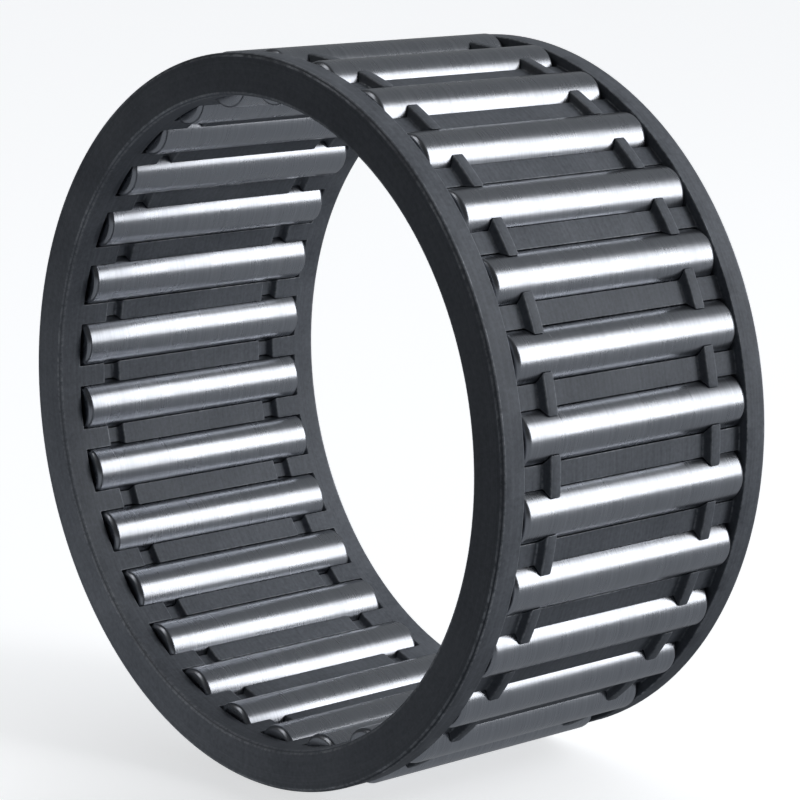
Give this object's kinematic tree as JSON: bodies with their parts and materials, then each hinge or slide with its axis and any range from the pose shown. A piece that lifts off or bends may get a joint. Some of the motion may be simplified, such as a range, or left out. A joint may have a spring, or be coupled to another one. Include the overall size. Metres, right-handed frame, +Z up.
{
  "type": "needle roller and cage assembly",
  "caption": "Needle roller bearing without rings: a windowed steel cage holds a row of needle rollers that run directly on shaft and housing.",
  "frame": {"origin": "middle of the bearing, on its axis, halfway between the two end faces", "axes": "+Y along the bearing axis, +Z up, +X to the side; the bearing stands on edge as on a horizontal shaft"},
  "size_m": [0.0528, 0.025, 0.053],
  "materials": {
    "cage_steel": "satin",
    "roller_steel": "polished"
  },
  "bodies": {
    "cage": {"cage": "cage_steel"},
    "roller_01": {"roller_01": "roller_steel"},
    "roller_02": {"roller_02": "roller_steel"},
    "roller_03": {"roller_03": "roller_steel"},
    "roller_04": {"roller_04": "roller_steel"},
    "roller_05": {"roller_05": "roller_steel"},
    "roller_06": {"roller_06": "roller_steel"},
    "roller_07": {"roller_07": "roller_steel"},
    "roller_08": {"roller_08": "roller_steel"},
    "roller_09": {"roller_09": "roller_steel"},
    "roller_10": {"roller_10": "roller_steel"},
    "roller_11": {"roller_11": "roller_steel"},
    "roller_12": {"roller_12": "roller_steel"},
    "roller_13": {"roller_13": "roller_steel"},
    "roller_14": {"roller_14": "roller_steel"},
    "roller_15": {"roller_15": "roller_steel"},
    "roller_16": {"roller_16": "roller_steel"},
    "roller_17": {"roller_17": "roller_steel"},
    "roller_18": {"roller_18": "roller_steel"},
    "roller_19": {"roller_19": "roller_steel"},
    "roller_20": {"roller_20": "roller_steel"},
    "roller_21": {"roller_21": "roller_steel"},
    "roller_22": {"roller_22": "roller_steel"},
    "roller_23": {"roller_23": "roller_steel"},
    "roller_24": {"roller_24": "roller_steel"},
    "roller_25": {"roller_25": "roller_steel"},
    "roller_26": {"roller_26": "roller_steel"},
    "roller_27": {"roller_27": "roller_steel"},
    "roller_28": {"roller_28": "roller_steel"},
    "roller_29": {"roller_29": "roller_steel"},
    "roller_30": {"roller_30": "roller_steel"}
  },
  "joints": [
    {"name": "roller_01_spin", "type": "hinge", "parent": "cage", "child": "roller_01", "pos_m": [0.02437, 0, 0.00256], "axis": [0, 1, 0], "continuous": true},
    {"name": "roller_02_spin", "type": "hinge", "parent": "cage", "child": "roller_02", "pos_m": [0.0233, 0, 0.00757], "axis": [0, 1, 0], "continuous": true},
    {"name": "roller_03_spin", "type": "hinge", "parent": "cage", "child": "roller_03", "pos_m": [0.02122, 0, 0.01225], "axis": [0, 1, 0], "continuous": true},
    {"name": "roller_04_spin", "type": "hinge", "parent": "cage", "child": "roller_04", "pos_m": [0.01821, 0, 0.01639], "axis": [0, 1, 0], "continuous": true},
    {"name": "roller_05_spin", "type": "hinge", "parent": "cage", "child": "roller_05", "pos_m": [0.0144, 0, 0.01982], "axis": [0, 1, 0], "continuous": true},
    {"name": "roller_06_spin", "type": "hinge", "parent": "cage", "child": "roller_06", "pos_m": [0.00996, 0, 0.02238], "axis": [0, 1, 0], "continuous": true},
    {"name": "roller_07_spin", "type": "hinge", "parent": "cage", "child": "roller_07", "pos_m": [0.00509, 0, 0.02396], "axis": [0, 1, 0], "continuous": true},
    {"name": "roller_08_spin", "type": "hinge", "parent": "cage", "child": "roller_08", "pos_m": [0, 0, 0.0245], "axis": [0, 1, 0], "continuous": true},
    {"name": "roller_09_spin", "type": "hinge", "parent": "cage", "child": "roller_09", "pos_m": [-0.00509, 0, 0.02396], "axis": [0, 1, 0], "continuous": true},
    {"name": "roller_10_spin", "type": "hinge", "parent": "cage", "child": "roller_10", "pos_m": [-0.00996, 0, 0.02238], "axis": [0, 1, 0], "continuous": true},
    {"name": "roller_11_spin", "type": "hinge", "parent": "cage", "child": "roller_11", "pos_m": [-0.0144, 0, 0.01982], "axis": [0, 1, 0], "continuous": true},
    {"name": "roller_12_spin", "type": "hinge", "parent": "cage", "child": "roller_12", "pos_m": [-0.01821, 0, 0.01639], "axis": [0, 1, 0], "continuous": true},
    {"name": "roller_13_spin", "type": "hinge", "parent": "cage", "child": "roller_13", "pos_m": [-0.02122, 0, 0.01225], "axis": [0, 1, 0], "continuous": true},
    {"name": "roller_14_spin", "type": "hinge", "parent": "cage", "child": "roller_14", "pos_m": [-0.0233, 0, 0.00757], "axis": [0, 1, 0], "continuous": true},
    {"name": "roller_15_spin", "type": "hinge", "parent": "cage", "child": "roller_15", "pos_m": [-0.02437, 0, 0.00256], "axis": [0, 1, 0], "continuous": true},
    {"name": "roller_16_spin", "type": "hinge", "parent": "cage", "child": "roller_16", "pos_m": [-0.02437, 0, -0.00256], "axis": [0, 1, 0], "continuous": true},
    {"name": "roller_17_spin", "type": "hinge", "parent": "cage", "child": "roller_17", "pos_m": [-0.0233, 0, -0.00757], "axis": [0, 1, 0], "continuous": true},
    {"name": "roller_18_spin", "type": "hinge", "parent": "cage", "child": "roller_18", "pos_m": [-0.02122, 0, -0.01225], "axis": [0, 1, 0], "continuous": true},
    {"name": "roller_19_spin", "type": "hinge", "parent": "cage", "child": "roller_19", "pos_m": [-0.01821, 0, -0.01639], "axis": [0, 1, 0], "continuous": true},
    {"name": "roller_20_spin", "type": "hinge", "parent": "cage", "child": "roller_20", "pos_m": [-0.0144, 0, -0.01982], "axis": [0, 1, 0], "continuous": true},
    {"name": "roller_21_spin", "type": "hinge", "parent": "cage", "child": "roller_21", "pos_m": [-0.00996, 0, -0.02238], "axis": [0, 1, 0], "continuous": true},
    {"name": "roller_22_spin", "type": "hinge", "parent": "cage", "child": "roller_22", "pos_m": [-0.00509, 0, -0.02396], "axis": [0, 1, 0], "continuous": true},
    {"name": "roller_23_spin", "type": "hinge", "parent": "cage", "child": "roller_23", "pos_m": [0, 0, -0.0245], "axis": [0, 1, 0], "continuous": true},
    {"name": "roller_24_spin", "type": "hinge", "parent": "cage", "child": "roller_24", "pos_m": [0.00509, 0, -0.02396], "axis": [0, 1, 0], "continuous": true},
    {"name": "roller_25_spin", "type": "hinge", "parent": "cage", "child": "roller_25", "pos_m": [0.00996, 0, -0.02238], "axis": [0, 1, 0], "continuous": true},
    {"name": "roller_26_spin", "type": "hinge", "parent": "cage", "child": "roller_26", "pos_m": [0.0144, 0, -0.01982], "axis": [0, 1, 0], "continuous": true},
    {"name": "roller_27_spin", "type": "hinge", "parent": "cage", "child": "roller_27", "pos_m": [0.01821, 0, -0.01639], "axis": [0, 1, 0], "continuous": true},
    {"name": "roller_28_spin", "type": "hinge", "parent": "cage", "child": "roller_28", "pos_m": [0.02122, 0, -0.01225], "axis": [0, 1, 0], "continuous": true},
    {"name": "roller_29_spin", "type": "hinge", "parent": "cage", "child": "roller_29", "pos_m": [0.0233, 0, -0.00757], "axis": [0, 1, 0], "continuous": true},
    {"name": "roller_30_spin", "type": "hinge", "parent": "cage", "child": "roller_30", "pos_m": [0.02437, 0, -0.00256], "axis": [0, 1, 0], "continuous": true}
  ]
}
